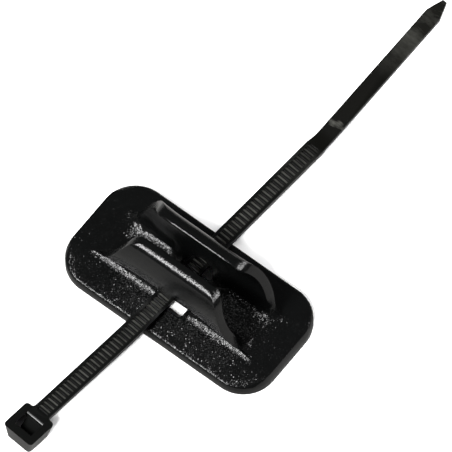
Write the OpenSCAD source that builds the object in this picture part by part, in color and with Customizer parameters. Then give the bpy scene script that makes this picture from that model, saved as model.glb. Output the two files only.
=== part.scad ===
// Adhesive cable guide with a cable tie threaded through it.
// The guide is one moulding: a crowned base plate with a flat underside for the adhesive, and an open
// cable channel whose two walls bow outwards and close in again to a narrower mouth.
// The frame has its origin at the middle of the underside, X along the channel, Z up, and the tie's
// tail on the +Y side.

/* [Base plate] */
// Length of the plate, along the channel
base_l = 59.2; // [54:0.1:90]
// Width of the plate, across the channel
base_w = 30; // [28:0.5:50]
// Radius of the plate's corners in plan
corner_r = 8.8; // [4:0.1:13]
// Height of the plate at its long edges
edge_h = 3.2; // [2:0.1:3.6]
// Height of the level strip under the channel
plateau_h = 4; // [3.8:0.1:6]
// Width of the level strip, between the two creases
plateau_w = 16.2; // [16:0.1:24]
// Radius of the plate's rounded upper edge
edge_round = 0.8; // [0.2:0.1:1.5]
// How far the level strip stops short of the plate's ends
crown_run = 0.5; // [0.4:0.1:2]

/* [Cable channel] */
// Height of the channel's rim above the underside
rim_h = 21.9; // [19:0.1:30]
// Gap between the two rims, where the cable goes in
mouth_w = 6.5; // [4:0.1:9]
// Widest inside width of the channel
belly_w = 11.8; // [10:0.1:13]
// Height of that widest place above the underside
belly_h = 14.2; // [13:0.1:16]
// Thickness of the channel's walls
wall_t = 2.3; // [1.5:0.1:3]
// Radius of the rounded channel floor
floor_r = 4.8; // [2:0.1:5]
// Radius of the fillet along the outer foot of a wall
foot_r = 2.2; // [1.4:0.1:2.4]
// Rounding of the rims' inner edges
rim_inner_r = 0.45; // [0.2:0.05:1]
// Rounding of the rims' outer shoulders
rim_outer_r = 2.5; // [0.5:0.1:3]
// Length of the rim
rim_l = 24.2; // [16:0.1:30]
// Slope of the walls' ends, from the level
end_slope = 63; // [45:1:75]
// Radius where the rim turns into a wall's end
shoulder_r = 4.7; // [1:0.1:8]
// Radius where a wall's end runs out on to the plate
runout_r = 6; // [2:0.1:8]
// Distance from the middle at which the walls start to flare outwards
flare_start = 7; // [4:0.5:12]
// Radius of that flare, in plan
flare_r = 72; // [50:1:200]

/* [Tie opening] */
// Width of the arched opening through the foot of each wall
slot_w = 9.8; // [9.8:0.1:12]
// Height of the arch's crown above the level strip
slot_h = 5.8; // [5:0.1:7]
// Half the width of the bridge between the two holes in the plate
bridge_half = 3.7; // [2.5:0.1:5]
// Width of those holes, along the channel
hole_w = 7.2; // [6:0.1:8.8]
// Length of those holes, outwards from the bridge
hole_l = 4.5; // [2.4:0.1:5]
// Corner radius of the holes in the plate
hole_r = 1.1; // [0.3:0.1:1.4]

/* [Cable tie strap] */
// Width of the toothed strap
strap_w = 4.6; // [3.6:0.1:4.7]
// Thickness of the strap over its side rails
strap_t = 1.3; // [1:0.05:1.6]
// Width of each smooth side rail
rail_w = 0.75; // [0.4:0.05:1.2]
// Thickness of the web between the teeth
web_t = 0.7; // [0.5:0.05:0.9]
// Height of the teeth above the strap's underside
tooth_h = 1.15; // [1:0.05:1.3]
// Distance from tooth to tooth
tooth_pitch = 1.33; // [1:0.01:2]
// Plain stretch of strap between the head and the first tooth
teeth_gap = 0.5; // [0.2:0.1:10]
// Distance from the guide's middle to the end of the teeth, towards the tail
teeth_end = 46; // [44:0.5:50]
// Sideways place of the strap in the opening
strap_x = -1.85; // [-1.85:0.05:1]
// Angle of the strap in plan, its tail towards +X
strap_turn = 4.5; // [0:0.1:4.6]

/* [Cable tie tail] */
// Width of the smooth tail
tail_w = 4.1; // [3.4:0.1:4.4]
// Thickness of the smooth tail
tail_t = 1.1; // [0.8:0.05:1.3]
// Distance along the strap from the guide's middle to the tip
tail_end = 92.6; // [80:0.5:120]
// Length of the tapered tip
tip_l = 4.4; // [3:0.1:12]
// Width of the blunt end of the tip
tip_w = 0.9; // [0.6:0.1:2]
// Distance from the guide's middle to the bend before the tail
tail_bend = 48; // [46:0.5:60]
// Upward angle of the tail
tail_lift = 12; // [0:0.5:20]

/* [Cable tie head] */
// Distance along the strap from the guide's middle to the head's middle
head_s = 53.5; // [45:0.1:70]
// Length of the head, along the strap
head_l = 8.3; // [7.6:0.1:9]
// Width of the head
head_w = 8.7; // [7.8:0.1:9.4]
// Depth of the head
head_h = 5.2; // [4:0.1:6]
// How much each side of the head draws in over its depth
head_draft = 0.75; // [0:0.05:0.8]
// Radius of the head's upright corners
head_corner = 0.9; // [0.3:0.1:1.5]
// Radius of the corners where the strap joins the head
neck_r = 0.7; // [0.3:0.1:1]
// Distance from the guide's middle to the bend before the head
head_bend = 16; // [15.5:0.5:30]
// Upward angle of the strap towards the head
head_lift = 6.5; // [0:0.5:12]
// Play of the strap in the head's opening, on each side
slot_play = 0.2; // [0.1:0.05:0.3]
// Length of the head's opening, along the strap
window_l = 4.1; // [3.5:0.1:4.3]
// Thickness of the head's wall on the strap's side of the opening
root_wall = 2.1; // [1.6:0.1:2.3]
// Width of the pawl
pawl_w = 4.1; // [2.5:0.1:4.6]
// Thickness of the pawl
pawl_t = 1; // [0.6:0.05:1.2]
// How far the pawl reaches into the opening
pawl_reach = 2.6; // [1.5:0.05:2.7]

/* [Hidden] */
guide_colour = "#1c1d1d";
tie_colour = "#181a19";
past = 1;
thin = 0.01;

// Channel section: each wall lies between two arcs about one centre, with rounded rim edges
arc_steps = 12;
turn_steps = 4;
fillet_steps = 8;
rim_in_centre = [mouth_w / 2 + rim_inner_r, rim_h - rim_inner_r];
rim_rise = rim_in_centre.y - belly_h;
rim_draw = belly_w / 2 - rim_in_centre.x;
inner_r = (pow(rim_draw, 2) + pow(rim_rise, 2) - pow(rim_inner_r, 2)) / (2 * (rim_draw + rim_inner_r));
outer_r = inner_r + wall_t;
bow_centre = [belly_w / 2 - inner_r, belly_h];
rim_in_turn = asin(rim_rise / (inner_r + rim_inner_r));
rim_out_turn = asin((rim_h - rim_outer_r - belly_h) / (outer_r - rim_outer_r));
rim_out_centre = bow_centre + (outer_r - rim_outer_r) * [cos(rim_out_turn), sin(rim_out_turn)];
floor_drop = sqrt(pow(inner_r - floor_r, 2) - pow(bow_centre.x, 2));
floor_turn = atan2(floor_drop, -bow_centre.x);
floor_centre = [0, belly_h - floor_drop];
foot_bite = 0.15;
foot_gap = outer_r + foot_r - foot_bite;
foot_turn = asin((belly_h - plateau_h - foot_r) / foot_gap);
foot_centre = [bow_centre.x + foot_gap * cos(foot_turn), plateau_h + foot_r];
foot_half = 0.6 * (foot_centre.x - foot_r);
root_z = plateau_h - past;

// Side view of the walls: rim, shoulder, straight end and run-out
end_steps = 8;
foot_x = rim_l / 2 + (rim_h - plateau_h) / tan(end_slope);
half_turn = tan(end_slope / 2);
shoulder_centre = [rim_l / 2 - shoulder_r * half_turn, rim_h - shoulder_r];
runout_centre = [foot_x + runout_r * half_turn, plateau_h + runout_r];
channel_half = runout_centre.x + past;

flare_turn = asin((channel_half - flare_start) / (flare_r - belly_w / 2 - wall_t));
strip_half = 0.8 * (foot_centre.x - foot_r);

// Tie: its strap lies on the plate and bends upwards towards both ends
head_bend_r = 40;
tail_bend_r = 14;
bend_steps = 6;
tooth_count = floor((head_s - head_l / 2 - teeth_gap + teeth_end) / tooth_pitch);
teeth_start = teeth_end - tooth_count * tooth_pitch;
crest_share = 0.35;
ramp_share = 0.8;
window_y = head_l / 2 - root_wall;
window_w = strap_w + 2 * slot_play;
pawl_drop = head_h * 0.55;

// Points of an arc from angle a to angle b about a centre, without its first point
function arc(c, r, a, b, n) = [for (i = [1:n]) let (t = a + (b - a) * i / n) c + r * [cos(t), sin(t)]];

// Section of the +Y wall and its half of the floor, as [y, z] points
function half_section() = concat(
    [[0, root_z], [foot_half, root_z], bow_centre + outer_r * [cos(foot_turn), -sin(foot_turn)]],
    arc(bow_centre, outer_r, -foot_turn, rim_out_turn, arc_steps),
    arc(rim_out_centre, rim_outer_r, rim_out_turn, 90, fillet_steps),
    [rim_in_centre + [0, rim_inner_r]],
    arc(rim_in_centre, rim_inner_r, 90, 180 + rim_in_turn, turn_steps),
    arc(bow_centre, inner_r, rim_in_turn, -floor_turn, arc_steps),
    arc(floor_centre, floor_r, -floor_turn, -90, turn_steps)
);

// Section of the straight fillet along the outer foot of the +Y wall, as [y, z] points
function foot_section() = concat(
    [[foot_centre.x, root_z], [foot_centre.x, plateau_h]],
    arc(foot_centre, foot_r, -90, -180 - foot_turn, fillet_steps)
);

// Upper half of the side view on the +X side, from the plate to the rim, as [x, z] points
function end_curve() = concat(
    [[runout_centre.x, root_z], [runout_centre.x, plateau_h]],
    arc(runout_centre, runout_r, -90, -90 - end_slope, end_steps),
    [shoulder_centre + shoulder_r * [sin(end_slope), cos(end_slope)]],
    arc(shoulder_centre, shoulder_r, 90 - end_slope, 90, end_steps)
);

// Place of a point of the strap, s along its underside and h above it, as [y, z]
function bent(s, h, start, r, lift) =
    let (along = s - start, turn = min(lift, max(0, along) / r * 180 / PI))
    let (rest = max(0, along - r * lift * PI / 180))
    let (flat = min(s, start), in = r - h)
    [flat + in * sin(turn) + rest * cos(turn), h + in * (1 - cos(turn)) + rest * sin(turn)];
function strap_point(s, h) = s < 0
    ? let (p = bent(-s, h, head_bend, head_bend_r, head_lift)) [-p.x, p.y]
    : bent(s, h, tail_bend, tail_bend_r, tail_lift);

// Places along the strap where its plain outline needs a point, between two ends
head_curve = [for (i = [bend_steps:-1:0]) -head_bend - i / bend_steps * head_bend_r * head_lift * PI / 180];
tail_curve = [for (i = [0:bend_steps]) tail_bend + i / bend_steps * tail_bend_r * tail_lift * PI / 180];
bends = concat(head_curve, tail_curve);
function places(from, to) = concat([from], [for (s = bends) if (s > from && s < to) s], [to]);

module guide() {
    color(guide_colour) union() {
        difference() {
            base_plate();
            for (side = [-1, 1]) plate_hole(side);
        }
        difference() {
            channel();
            tie_arch();
        }
    }
}

// Crowned plate: rounded corners drawn together with the level strip on top
module base_plate() {
    $fn = 64;
    hull() {
        for (sx = [-1, 1], sy = [-1, 1]) {
            translate([sx * (base_l / 2 - corner_r), sy * (base_w / 2 - corner_r), 0]) corner_puck();
        }
        translate([0, 0, plateau_h - thin]) linear_extrude(thin) intersection() {
            rounded_plan(base_l - 2 * crown_run, base_w - 2 * crown_run, corner_r - crown_run);
            square([base_l, plateau_w], center = true);
        }
    }
}

module corner_puck() {
    rotate_extrude() polygon(concat(
        [[0, edge_h], [0, 0], [corner_r, 0], [corner_r, edge_h - edge_round]],
        arc([corner_r - edge_round, edge_h - edge_round], edge_round, 0, 90, turn_steps)
    ));
}

module rounded_plan(l, w, r) {
    hull() {
        for (sx = [-1, 1], sy = [-1, 1]) translate([sx * (l / 2 - r), sy * (w / 2 - r)]) circle(r);
    }
}

// Two bowed walls and the floor between them, trimmed to the side view
module channel() {
    intersection() {
        union() {
            wall();
            mirror([0, 1, 0]) wall();
            floor_strip();
            foot_strip();
        }
        rotate([90, 0, 0]) linear_extrude(base_w, center = true) {
            polygon(concat(end_curve(), mirrored(end_curve())));
        }
    }
}

function mirrored(points) = [for (i = [len(points) - 1:-1:0]) [-points[i].x, points[i].y]];

// The +Y wall: straight in the middle, then bent outwards in plan at both ends
module wall() {
    rotate([90, 0, 90]) linear_extrude(2 * flare_start, center = true) polygon(half_section());
    for (side = [0, 1]) mirror([side, 0, 0]) translate([flare_start, flare_r, 0]) flared_end();
}

module flared_end() {
    $fn = 360;
    rotate(-90) rotate_extrude(angle = flare_turn) {
        polygon([for (p = half_section()) [flare_r - p.x, p.y]]);
    }
}

// Fills the gap that the flare leaves along the middle of the floor
module floor_strip() {
    floor_z = floor_centre.y - floor_r;
    translate([-channel_half, -strip_half, root_z]) cube([2 * channel_half, 2 * strip_half, floor_z - root_z]);
}

// Fillets along both outer feet, which stay straight where the walls flare
module foot_strip() {
    core_z = (plateau_h + floor_centre.y - floor_r) / 2;
    rotate([90, 0, 90]) linear_extrude(2 * channel_half, center = true) {
        polygon(concat(foot_section(), [[0, core_z]], mirrored(foot_section())));
    }
}

// Round-headed opening for the tie, across both walls
module tie_arch() {
    $fn = 64;
    arch_r = slot_w / 2;
    spring_z = plateau_h + slot_h - arch_r;
    rotate([90, 0, 0]) linear_extrude(base_w, center = true) {
        translate([0, spring_z]) circle(arch_r);
        translate([-arch_r, root_z - past]) square([slot_w, spring_z - root_z + past]);
    }
}

// Hole through the plate under one wall, which lets the arch be moulded from below
module plate_hole(side) {
    $fn = 32;
    translate([0, side * (bridge_half + hole_l / 2), -past]) linear_extrude(plateau_h + 2 * past) {
        rounded_plan(hole_w, hole_l, hole_r);
    }
}

module cable_tie() {
    color(tie_colour) translate([strap_x, 0, plateau_h]) rotate(-strap_turn) {
        strap();
        tail();
        head();
    }
}

// A profile in the strap's side view, drawn over part of its width
module across(x, w) {
    translate([x + w / 2, 0, 0]) rotate([90, 0, 90]) translate([0, 0, -w / 2]) linear_extrude(w) children();
}

// Smooth rails on both sides of the toothed ladder
module strap() {
    rail_x = (strap_w - rail_w) / 2;
    root = -head_s + window_y;
    for (side = [-1, 1]) {
        across(side * rail_x - rail_w / 2, rail_w) plain_profile(root, teeth_end, strap_t);
    }
    across(-strap_w / 2 + rail_w, strap_w - 2 * rail_w) tooth_profile(root);
}

module plain_profile(from, to, t) {
    stops = places(from, to);
    polygon(concat(
        [for (s = stops) strap_point(s, 0)],
        [for (i = [len(stops) - 1:-1:0]) strap_point(stops[i], t)]
    ));
}

// Saw teeth, steep on the side of the head
module tooth_profile(root) {
    teeth = [for (i = [0:tooth_count - 1]) let (s = teeth_start + i * tooth_pitch) each [
        strap_point(s, web_t),
        strap_point(s, tooth_h),
        strap_point(s + crest_share * tooth_pitch, tooth_h),
        strap_point(s + ramp_share * tooth_pitch, web_t)
    ]];
    polygon(concat(
        [for (s = places(root, teeth_end)) strap_point(s, 0)],
        [strap_point(teeth_end, web_t)],
        [for (i = [len(teeth) - 1:-1:0]) teeth[i]],
        [strap_point(root, web_t)]
    ));
}

// Smooth tail, narrowing from the strap's width and drawn to a blunt point
module tail() {
    tip = strap_point(tail_end, 0).x;
    shoulder = strap_point(tail_end - tip_l, 0).x;
    intersection() {
        across(-strap_w / 2, strap_w) plain_profile(teeth_end, tail_end, tail_t);
        linear_extrude(base_l) polygon([
            [-strap_w / 2, teeth_end], [-tail_w / 2, tail_bend], [-tail_w / 2, shoulder], [-tip_w / 2, tip],
            [tip_w / 2, tip], [tail_w / 2, shoulder], [tail_w / 2, tail_bend], [strap_w / 2, teeth_end]
        ]);
    }
}

// Tapered head, flush with the strap's toothed face, with its opening and pawl
module head() {
    seat = strap_point(-head_s, strap_t);
    translate([0, seat.x, seat.y]) rotate([-head_lift, 0, 0]) {
        difference() {
            head_block();
            translate([-window_w / 2, window_y - window_l, -head_h - past]) {
                cube([window_w, window_l, head_h + 2 * past]);
            }
        }
        pawl();
        for (side = [0, 1]) mirror([side, 0, 0]) neck_corner();
    }
}

// Fillet between the strap's edge and the head
module neck_corner() {
    $fn = 32;
    bite = head_draft / 2;
    translate([strap_w / 2, head_l / 2, -strap_t]) linear_extrude(strap_t) difference() {
        translate([-thin, -bite]) square([neck_r + thin, neck_r + bite]);
        translate([neck_r, neck_r]) circle(neck_r);
    }
}

module head_block() {
    $fn = 32;
    hull() {
        translate([0, 0, -thin]) linear_extrude(thin) rounded_plan(head_w, head_l, head_corner);
        translate([0, 0, -head_h]) linear_extrude(thin) {
            rounded_plan(head_w - 2 * head_draft, head_l - 2 * head_draft, head_corner);
        }
    }
}

// Sprung tongue that leans into the opening from the strap's side
module pawl() {
    tip_y = window_y - pawl_reach;
    across(-pawl_w / 2, pawl_w) polygon([
        [window_y + thin, -pawl_drop / 3], [window_y + thin, -pawl_drop / 3 - pawl_t],
        [tip_y + pawl_t / 2, -head_h + thin], [tip_y, -head_h + pawl_t], [tip_y + pawl_t / 2, -pawl_drop]
    ]);
}

guide();
cable_tie();
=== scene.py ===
"""Adhesive cable guide with its cable tie: looks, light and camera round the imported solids."""

import math

import bmesh
import bpy
from mathutils import Matrix, Vector


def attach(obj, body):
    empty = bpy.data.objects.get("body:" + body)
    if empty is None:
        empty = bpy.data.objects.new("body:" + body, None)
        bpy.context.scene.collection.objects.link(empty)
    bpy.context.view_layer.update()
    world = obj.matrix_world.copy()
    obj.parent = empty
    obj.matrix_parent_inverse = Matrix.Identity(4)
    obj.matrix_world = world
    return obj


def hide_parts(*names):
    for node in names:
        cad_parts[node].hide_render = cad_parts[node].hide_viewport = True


MM = 0.001

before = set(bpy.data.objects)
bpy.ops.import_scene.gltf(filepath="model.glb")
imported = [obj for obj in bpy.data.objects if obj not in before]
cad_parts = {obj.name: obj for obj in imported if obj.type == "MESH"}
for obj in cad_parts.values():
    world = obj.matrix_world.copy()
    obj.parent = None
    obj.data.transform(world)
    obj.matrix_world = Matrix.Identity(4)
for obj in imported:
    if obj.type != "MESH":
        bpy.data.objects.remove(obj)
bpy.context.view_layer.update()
scene = bpy.context.scene
scene.view_settings.view_transform = "Standard"

# Camera: the photograph's view, from well above and nearly without perspective
AZIMUTH = math.radians(37.7)
ELEVATION = math.radians(64.5)
VIEW_WIDTH = 105.6 * MM
AIM_RIGHT = 8.62 * MM
AIM_UP = 15.44 * MM
DISTANCE = 4.0
SENSOR = 36

back = Vector((
    math.sin(AZIMUTH) * math.cos(ELEVATION),
    -math.cos(AZIMUTH) * math.cos(ELEVATION),
    math.sin(ELEVATION),
))
right = Vector((math.cos(AZIMUTH), math.sin(AZIMUTH), 0))
up = back.cross(right)

camera_data = bpy.data.cameras.new("camera")
camera = bpy.data.objects.new("camera", camera_data)
scene.collection.objects.link(camera)
scene.camera = camera
camera_data.sensor_width = SENSOR
camera_data.lens = SENSOR * DISTANCE / VIEW_WIDTH
camera_data.clip_start = 0.01
camera_data.clip_end = 30
camera.location = right * AIM_RIGHT + up * AIM_UP + back * DISTANCE
camera.rotation_mode = "QUATERNION"
camera.rotation_quaternion = (-back).to_track_quat("-Z", "Y")


def linear(hex_colour):
    """An sRGB hex colour as linear RGBA."""
    parts = [int(hex_colour[i:i + 2], 16) / 255 for i in (1, 3, 5)]
    return tuple(c / 12.92 if c <= 0.04045 else ((c + 0.055) / 1.055) ** 2.4 for c in parts) + (1,)


def add(tree, kind, links=None, sockets=None, **properties):
    """A new node with its properties, plain socket values and links into it."""
    node = tree.nodes.new(kind)
    for name, value in properties.items():
        setattr(node, name, value)
    for name, value in (sockets or {}).items():
        node.inputs[name].default_value = value
    for name, source in (links or {}).items():
        tree.links.new(source, node.inputs[name])
    return node


def new_material(name):
    """An empty material and its node tree."""
    material = bpy.data.materials.new(name)
    material.use_nodes = True
    material.node_tree.nodes.clear()
    return material, material.node_tree


FACET = 0.18 * MM  # coarser than the real facets, so that each still shows at this size
PATCH = 8 * MM
GLOSS = 1.6 * MM


# Hard black plastic from a spark-eroded mould. The level faces carry fine pits that glint one by one,
# the walls were drawn from the mould and are smoother, and between the glints the black stays deep.
def spark_eroded_black_plastic():
    material, tree = new_material("spark_eroded_black_plastic")
    place = add(tree, "ShaderNodeTexCoord").outputs["Object"]
    height = add(tree, "ShaderNodeSeparateXYZ", {0: place}).outputs["Z"]
    normal = add(tree, "ShaderNodeNewGeometry").outputs["Normal"]
    facing = add(tree, "ShaderNodeSeparateXYZ", {0: normal}).outputs["Z"]
    # The texture is full on level faces, faint on upright ones and weaker up at the rims
    level = add(tree, "ShaderNodeMapRange", {"Value": facing}, {
        "From Min": 0.65, "From Max": 0.93, "To Min": 0.12, "To Max": 1.0})
    eroded = add(tree, "ShaderNodeMapRange", {"Value": height}, {
        "From Min": 8 * MM, "From Max": 14 * MM, "To Min": 1.0, "To Max": 0.5})
    level = add(tree, "ShaderNodeMath", {0: level.outputs["Result"], 1: eroded.outputs["Result"]},
                operation="MULTIPLY")
    # Worn and fresher patches of the mould
    patches = add(tree, "ShaderNodeTexNoise", {"Vector": place}, {
        "Scale": 1 / PATCH, "Detail": 2.0, "Roughness": 0.5})
    wear = add(tree, "ShaderNodeMapRange", {"Value": patches.outputs["Fac"]}, {
        "From Min": 0.38, "From Max": 0.60, "To Min": 0.58, "To Max": 0.72})
    tilt = add(tree, "ShaderNodeMath", {0: wear.outputs["Result"], 1: level.outputs[0]},
               operation="MULTIPLY")
    # Facets between the pits: most lean a little and a few lean far
    facets = add(tree, "ShaderNodeTexVoronoi", {"Vector": place}, {"Scale": 1 / FACET})
    chance = add(tree, "ShaderNodeTexWhiteNoise", {"Vector": facets.outputs["Position"]})
    far = add(tree, "ShaderNodeMath", {0: chance.outputs["Value"]}, {1: 2.0}, operation="POWER")
    far = add(tree, "ShaderNodeMapRange", {"Value": far.outputs[0]}, {"To Min": 0.42, "To Max": 1.0})
    tilt = add(tree, "ShaderNodeMath", {0: tilt.outputs[0], 1: far.outputs["Result"]},
               operation="MULTIPLY")
    lean = add(tree, "ShaderNodeVectorMath", {0: facets.outputs["Color"]}, {1: (0.5, 0.5, 0.5)},
               operation="SUBTRACT")
    lean = add(tree, "ShaderNodeVectorMath", {0: lean.outputs["Vector"], "Scale": tilt.outputs[0]},
               operation="SCALE")
    leant = add(tree, "ShaderNodeVectorMath", {0: lean.outputs["Vector"], 1: normal}, operation="ADD")
    leant = add(tree, "ShaderNodeVectorMath", {0: leant.outputs["Vector"]}, operation="NORMALIZE")
    # Gloss that wanders over a millimetre or two
    gloss = add(tree, "ShaderNodeTexNoise", {"Vector": place}, {
        "Scale": 1 / GLOSS, "Detail": 3.0, "Roughness": 0.6})
    roughness = add(tree, "ShaderNodeMapRange", {"Value": gloss.outputs["Fac"]}, {
        "From Min": 0.3, "From Max": 0.7, "To Min": 0.17, "To Max": 0.26})
    # The sides of the plate are dull up to their rounded edge
    shine = add(tree, "ShaderNodeMapRange", {"Value": height}, {
        "From Min": 2.2 * MM, "From Max": 2.9 * MM, "To Min": 0.12, "To Max": 0.37})
    shader = add(tree, "ShaderNodeBsdfPrincipled", {
        "Normal": leant.outputs["Vector"], "Roughness": roughness.outputs["Result"],
        "Specular IOR Level": shine.outputs["Result"]}, {"Base Color": linear("#0b0c0c")})
    add(tree, "ShaderNodeOutputMaterial", {"Surface": shader.outputs["BSDF"]})
    return material


GRAIN = 0.5 * MM
GRAIN_DEPTH = 0.05 * MM
CLOUD = 5 * MM
SPECK = 1.5 * MM
STRETCH = 0.35  # clouds and specks are drawn out across the tail
# Places along the tie: between the two of a pair one look gives way to the next
HEAD_TO_TEETH = -49 * MM, -47 * MM
TEETH_TO_TAIL = 40 * MM, 47 * MM
TAIL_TO_TIP = 68 * MM, 80 * MM
BEND_Y = 53.7 * MM  # where the tail bends up
BEND_REACH = 0.5 * MM, 5 * MM  # how far the painted highlight goes either way


# Black nylon from a polished mould, handled since: satin and faintly olive, with a painted sheen on the
# ramps of the teeth, lighter grey clouds across the tail near its tip that are rubbed patches with a
# painted sheen, and a painted highlight at the bend.
def rubbed_and_sheened_black_nylon():
    material, tree = new_material("rubbed_and_sheened_black_nylon")
    place = add(tree, "ShaderNodeTexCoord").outputs["Object"]
    along = add(tree, "ShaderNodeSeparateXYZ", {0: place}).outputs["Y"]
    at_teeth = add(tree, "ShaderNodeMapRange", {"Value": along}, {
        "From Min": HEAD_TO_TEETH[0], "From Max": HEAD_TO_TEETH[1]})
    at_tail = add(tree, "ShaderNodeMapRange", {"Value": along}, {
        "From Min": TEETH_TO_TAIL[0], "From Max": TEETH_TO_TAIL[1]})
    at_tip = add(tree, "ShaderNodeMapRange", {"Value": along}, {
        "From Min": TAIL_TO_TIP[0], "From Max": TAIL_TO_TIP[1]})
    grain = add(tree, "ShaderNodeTexNoise", {"Vector": place}, {
        "Scale": 1 / GRAIN, "Detail": 2.0, "Roughness": 0.5})
    bump = add(tree, "ShaderNodeBump", {"Height": grain.outputs["Fac"]}, {
        "Strength": 0.4, "Distance": GRAIN_DEPTH})
    across = add(tree, "ShaderNodeMapping", {"Vector": place}, {"Scale": (STRETCH, 1.0, 1.0)})
    # Lighter grey clouds near the tip: rubbed patches together with a painted sheen
    clouds = add(tree, "ShaderNodeTexNoise", {"Vector": across.outputs["Vector"]}, {
        "Scale": 1 / CLOUD, "Detail": 5.0, "Roughness": 0.65})
    rubbed_and_sheen = add(tree, "ShaderNodeMapRange", {"Value": clouds.outputs["Fac"]}, {
        "From Min": 0.40, "From Max": 0.66, "To Min": 0.1, "To Max": 1.0})
    rubbed_and_sheen = add(tree, "ShaderNodeMath", {0: rubbed_and_sheen.outputs["Result"], 1: at_tip.outputs["Result"]},
                 operation="MULTIPLY")
    # Painted highlight at the bend, in specks, where the tail bends up into the light
    specks = add(tree, "ShaderNodeTexNoise", {"Vector": across.outputs["Vector"]}, {
        "Scale": 1 / SPECK, "Detail": 3.0, "Roughness": 0.6})
    off_bend = add(tree, "ShaderNodeMath", {0: along}, {1: BEND_Y}, operation="SUBTRACT")
    off_bend = add(tree, "ShaderNodeMath", {0: off_bend.outputs[0]}, operation="ABSOLUTE")
    at_bend = add(tree, "ShaderNodeMapRange", {"Value": off_bend.outputs[0]}, {
        "From Min": BEND_REACH[0], "From Max": BEND_REACH[1], "To Min": 0.02, "To Max": -0.3})
    bend_highlight = add(tree, "ShaderNodeMath", {0: specks.outputs["Fac"], 1: at_bend.outputs["Result"]},
                   operation="ADD")
    bend_highlight = add(tree, "ShaderNodeMapRange", {"Value": bend_highlight.outputs[0]}, {
        "From Min": 0.50, "From Max": 0.75})
    # Painted sheen: the ramps of the teeth, which face the tail, are painted greyer than the rails, in
    # patches, as if lit from behind
    normal = add(tree, "ShaderNodeNewGeometry").outputs["Normal"]
    facing = add(tree, "ShaderNodeSeparateXYZ", {0: normal}).outputs["Y"]
    ramp = add(tree, "ShaderNodeMapRange", {"Value": facing}, {"From Min": 0.15, "From Max": 0.35})
    patchy = add(tree, "ShaderNodeMapRange", {"Value": specks.outputs["Fac"]}, {
        "From Min": 0.35, "From Max": 0.65, "To Min": 0.3, "To Max": 1.0})
    ramp = add(tree, "ShaderNodeMath", {0: ramp.outputs["Result"], 1: patchy.outputs["Result"]},
               operation="MULTIPLY")
    tone = add(tree, "ShaderNodeMix", {"Factor": ramp.outputs[0]}, {
        "A": linear("#0b0c0b"), "B": linear("#6a6b66")}, data_type="RGBA")
    tone = add(tree, "ShaderNodeMix", {
        "Factor": at_tail.outputs["Result"], "A": tone.outputs["Result"]}, {
        "B": linear("#0b0b08")}, data_type="RGBA")
    tone = add(tree, "ShaderNodeMix", {
        "Factor": at_teeth.outputs["Result"], "B": tone.outputs["Result"]}, {
        "A": linear("#0b0c0b")}, data_type="RGBA")
    # Rubbed patches with a painted sheen near the tip
    tone = add(tree, "ShaderNodeMix", {"Factor": rubbed_and_sheen.outputs[0], "A": tone.outputs["Result"]}, {
        "B": linear("#454541")}, data_type="RGBA")
    # Painted highlight at the bend
    tone = add(tree, "ShaderNodeMix", {
        "Factor": bend_highlight.outputs["Result"], "A": tone.outputs["Result"]}, {
        "B": linear("#5c5c57")}, data_type="RGBA")
    satin = add(tree, "ShaderNodeMapRange", {"Value": along}, {
        "From Min": TEETH_TO_TAIL[0], "From Max": TEETH_TO_TAIL[1], "To Min": 0.30, "To Max": 0.24})
    shader = add(tree, "ShaderNodeBsdfPrincipled", {
        "Normal": bump.outputs["Normal"], "Base Color": tone.outputs["Result"],
        "Roughness": satin.outputs["Result"]}, {"Specular IOR Level": 0.42})
    add(tree, "ShaderNodeOutputMaterial", {"Surface": shader.outputs["BSDF"]})
    return material


MIRRORED = 0.1  # how much of the white floor the plastic mirrors


# White studio card, matt: the camera sees an even white with the object's faint shadow, and the black
# plastic mirrors little of it.
def matt_white_card():
    material, tree = new_material("matt_white_card")
    path = add(tree, "ShaderNodeLightPath").outputs
    mirrored = add(tree, "ShaderNodeMath", {0: path["Is Glossy Ray"]}, {1: MIRRORED},
                   operation="MULTIPLY")
    seen = add(tree, "ShaderNodeMath", {0: path["Is Camera Ray"], 1: mirrored.outputs[0]},
               operation="ADD")
    seen = add(tree, "ShaderNodeMath", {0: seen.outputs[0], 1: path["Is Transmission Ray"]},
               operation="ADD", use_clamp=True)
    tone = add(tree, "ShaderNodeMix", {"Factor": seen.outputs[0]}, {
        "A": linear("#6c6b69"), "B": linear("#fafafa")}, data_type="RGBA")
    shader = add(tree, "ShaderNodeBsdfDiffuse", {"Color": tone.outputs["Result"]})
    add(tree, "ShaderNodeOutputMaterial", {"Surface": shader.outputs["BSDF"]})
    return material


TOUCH = 0.001 * MM  # points closer than this count as one
FLAT = math.radians(0.5)  # faces that meet at less than this are one
SHARP = math.radians(33)  # edges sharper than this are rounded


def piece_from(node_name, piece_name, material, merge, rounding, segments, crease, shape):
    """A piece with a solid's own shape: faces merged, sharp edges rounded, then worked by shape."""
    mesh = bpy.data.meshes.new(piece_name)
    work = bmesh.new()
    work.from_mesh(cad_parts[node_name].data)
    bmesh.ops.remove_doubles(work, verts=work.verts, dist=merge)
    bmesh.ops.dissolve_degenerate(work, dist=merge / 2, edges=work.edges)
    bmesh.ops.dissolve_limit(work, angle_limit=FLAT, verts=work.verts, edges=work.edges)
    edges = [e for e in work.edges if e.is_manifold and e.calc_face_angle(0) > SHARP]
    bmesh.ops.bevel(
        work, geom=edges, offset=rounding, offset_type="OFFSET", segments=segments, profile=0.5,
        affect="EDGES", clamp_overlap=True, harden_normals=False,
    )
    shape(work)
    work.to_mesh(mesh)
    work.free()
    mesh.shade_smooth()
    mesh.set_sharp_from_angle(angle=math.radians(crease))
    mesh.materials.append(material)
    piece = bpy.data.objects.new(piece_name, mesh)
    scene.collection.objects.link(piece)
    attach(piece, "root")
    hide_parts(node_name)
    return piece


PLATE_TOP = 4 * MM
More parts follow.
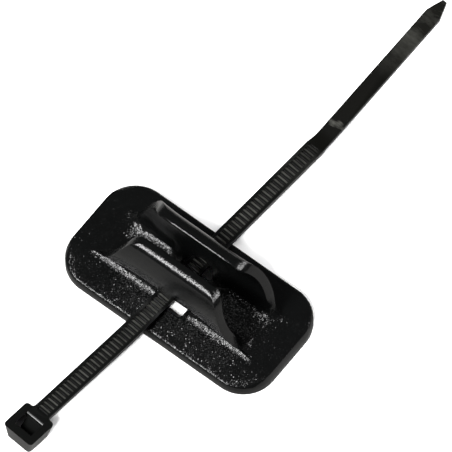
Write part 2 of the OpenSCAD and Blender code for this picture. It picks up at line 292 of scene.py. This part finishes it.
# The channel floor is brought down by this much, level with the plate. That starts outside the tie's
# arch, and dies away between the two heights and between the two half widths.
SINK_DEPTH = 1.94 * MM
SINK_STARTS = 4 * MM, 6.5 * MM
SINK_HEIGHTS = 7 * MM, 12 * MM
SINK_WIDTHS = 4.5 * MM, 6.5 * MM
# The channel is also widened, by this much below the first height and not at all above the second,
# and less where the walls are bent outwards. Across the ramp it grows from nothing in the middle.
WIDEN = 2.1 * MM
WIDEN_STARTS = 6 * MM, 9 * MM
WIDEN_HEIGHTS = 6.3 * MM, 10 * MM
WIDEN_RAMP = 3.5 * MM
BENT_SHARE = 0.6
# The walls' own shape: bowed in section and bent outwards in plan towards their ends
BOW_Y = -6.6 * MM
BOW_Z = 14.2 * MM
BOW_R = 12.5 * MM
WALL_T = 2.3 * MM
FLARE_START = 7 * MM
FLARE_R = 72 * MM
# Faces are first cut into strips, and the ends of the channel smoothed afterwards
CUT_STEP = 1 * MM
CUT_REACH = 26 * MM
CUT_ROWS = 8
EASE_START = 14 * MM
EASE_HEIGHT = 7.5 * MM
EASE_ROUNDS = 8


def held(value):
    """A value kept between 0 and 1."""
    return min(max(value, 0), 1)


def eased(value, start, end):
    """A smooth step from 0 at start to 1 at end."""
    t = held((value - start) / (end - start))
    return t * t * (3 - 2 * t)


def sinking(x, y, z):
    """How far a point of the channel is brought down."""
    share = eased(abs(x), *SINK_STARTS) * (1 - eased(z, *SINK_HEIGHTS))
    return SINK_DEPTH * share * (1 - eased(abs(y), *SINK_WIDTHS))


def widening(x, y, z):
    """How far a point of the channel moves outwards. The outside of the walls stays in place."""
    inward = FLARE_R - math.hypot(max(abs(x) - FLARE_START, 0), FLARE_R - abs(y))
    into_wall = (math.hypot(inward - BOW_Y, z - BOW_Z) - BOW_R) / WALL_T
    low = (WIDEN_HEIGHTS[1] - z) / (WIDEN_HEIGHTS[1] - WIDEN_HEIGHTS[0])
    wider = max(WIDEN - BENT_SHARE * (abs(y) - inward), 0) * eased(abs(x), *WIDEN_STARTS)
    return wider * eased(inward, 0, WIDEN_RAMP) * held(low) * (1 - held(into_wall))


def cut(work, place, normal):
    """All faces cut along a plane."""
    bmesh.ops.bisect_plane(
        work, geom=work.verts[:] + work.edges[:] + work.faces[:], dist=TOUCH,
        plane_co=place, plane_no=normal)


def sunk_channel(work):
    """The channel floor brought down to the plate and widened, so that it runs out without a step."""
    strips = round((CUT_REACH - SINK_STARTS[0]) / CUT_STEP)
    for side in (-1, 1):
        for i in range(strips + 1):
            cut(work, (side * (SINK_STARTS[0] + i * CUT_STEP), 0, 0), (1, 0, 0))
    for i in range(-CUT_ROWS, CUT_ROWS + 1):
        cut(work, (0, i * CUT_STEP, 0), (0, 1, 0))
    for vert in work.verts:
        x, y, z = vert.co
        if z > PLATE_TOP:
            vert.co.z = max(z - sinking(x, y, z), PLATE_TOP)
            vert.co.y += math.copysign(widening(x, y, z), y)
    ends = [
        v for v in work.verts
        if EASE_START < abs(v.co.x) < CUT_REACH and abs(v.co.y) < SINK_WIDTHS[1]
        and PLATE_TOP - TOUCH < v.co.z < EASE_HEIGHT
    ]
    for _ in range(EASE_ROUNDS):
        bmesh.ops.smooth_vert(work, verts=ends, factor=0.5, use_axis_z=True)


# Head of the tie: where its top stands and how it leans, and the lead-in of its opening
STRAP_X = -1.85 * MM
STRAP_TURN = math.radians(4.5)
HEAD_Y = -53.13 * MM
HEAD_Z = 5.28 * MM
HEAD_LEAN = math.radians(6.5)
OPENING_Y = 2.05 * MM
OPENING_W = 5.0 * MM
OPENING_REACH = 0.3 * MM
LEAD_L = 0.42 * MM
LEAD_H = 0.27 * MM


def head_opening(work):
    """A sloping lead-in on the strap's side of the head's opening."""
    place = Matrix.Translation((STRAP_X, 0, PLATE_TOP)) @ Matrix.Rotation(-STRAP_TURN, 4, "Z")
    place = place @ Matrix.Translation((0, HEAD_Y, HEAD_Z)) @ Matrix.Rotation(-HEAD_LEAN, 4, "X")
    into_head = place.inverted()

    def on_wall(vert):
        spot = into_head @ vert.co
        return (abs(spot.x) < OPENING_W / 2 + OPENING_REACH
                and abs(spot.y - OPENING_Y) < OPENING_REACH)

    walls = [f for f in work.faces if all(on_wall(v) for v in f.verts)]
    faces = {f for w in walls for e in w.edges for f in e.link_faces}
    edges = {e for f in faces for e in f.edges}
    verts = {v for f in faces for v in f.verts}
    bmesh.ops.bisect_plane(
        work, geom=list(faces) + list(edges) + list(verts), dist=TOUCH,
        plane_co=place @ Vector((0, 0, -LEAD_H)), plane_no=place.to_3x3() @ Vector((0, 0, 1)))
    for vert in work.verts:
        spot = into_head @ vert.co
        if on_wall(vert) and -LEAD_H / 2 < spot.z < OPENING_REACH:
            spot.y += LEAD_L
            vert.co = place @ spot


guide = piece_from(
    "guide", "guide_moulding", spark_eroded_black_plastic(),
    merge=0.02 * MM, rounding=0.2 * MM, segments=3, crease=40, shape=sunk_channel)
tie = piece_from(
    "cable_tie", "tie_moulding", rubbed_and_sheened_black_nylon(),
    merge=0.015 * MM, rounding=0.07 * MM, segments=2, crease=25, shape=head_opening)

# Floor
FLOOR_HALF = 5
FLOOR_GAP = 0.05 * MM
floor_mesh = bpy.data.meshes.new("floor")
corners = [(x * FLOOR_HALF, y * FLOOR_HALF, 0) for x, y in ((-1, -1), (1, -1), (1, 1), (-1, 1))]
floor_mesh.from_pydata(corners, [], [(0, 1, 2, 3)])
floor_mesh.materials.append(matt_white_card())
floor = bpy.data.objects.new("floor", floor_mesh)
floor.location.z = -FLOOR_GAP
scene.collection.objects.link(floor)


# Light: one lamp shines on the plastic alone, and two on the floor alone
LAMP_DISTANCE = 1.0
AMBIENT = 0.07
plastic_only = bpy.data.collections.new("plastic_only")
for piece in (guide, tie):
    plastic_only.objects.link(piece)
floor_only = bpy.data.collections.new("floor_only")
floor_only.objects.link(floor)


def lamp_from(name, kind, direction, power):
    """A lamp of a kind that shines from a direction, and its data."""
    data = bpy.data.lights.new(name, kind)
    data.energy = power
    lamp = bpy.data.objects.new(name, data)
    scene.collection.objects.link(lamp)
    toward = Vector(direction).normalized()
    lamp.location = toward * LAMP_DISTANCE
    lamp.rotation_mode = "QUATERNION"
    lamp.rotation_quaternion = (-toward).to_track_quat("-Z", "Y")
    return lamp, data


def softbox(name, direction, size, power):
    """A rectangular area light that faces the object."""
    lamp, data = lamp_from(name, "AREA", direction, power)
    data.shape = "RECTANGLE"
    data.size, data.size_y = size
    return lamp


def floor_lamp(name, direction, angle, power):
    """A distant lamp that lights the floor and nothing else."""
    lamp, data = lamp_from(name, "SUN", direction, power)
    data.angle = math.radians(angle)
    lamp.light_linking.receiver_collection = floor_only


# A large light from the front left, and a small one from the right for the bright spots on the ends
softbox("key_softbox", (-0.30, -0.53, 0.79), size=(0.42, 0.32), power=12.7)
side = softbox("side_softbox", (0.68, 0.34, 0.65), size=(0.26, 0.26), power=3.8)
side.light_linking.receiver_collection = plastic_only
# The floor has two lamps of its own, so that it comes out white with a faint shadow
floor_lamp("floor_lamp_front", (0.20, -0.53, 0.855), angle=8, power=4.0)
floor_lamp("floor_lamp_back", (0.20, 0.75, 0.55), angle=30, power=4.2)

world = bpy.data.worlds.new("world")
scene.world = world
world.use_nodes = True
world.node_tree.nodes["Background"].inputs["Color"].default_value = (1, 1, 1, 1)
world.node_tree.nodes["Background"].inputs["Strength"].default_value = AMBIENT
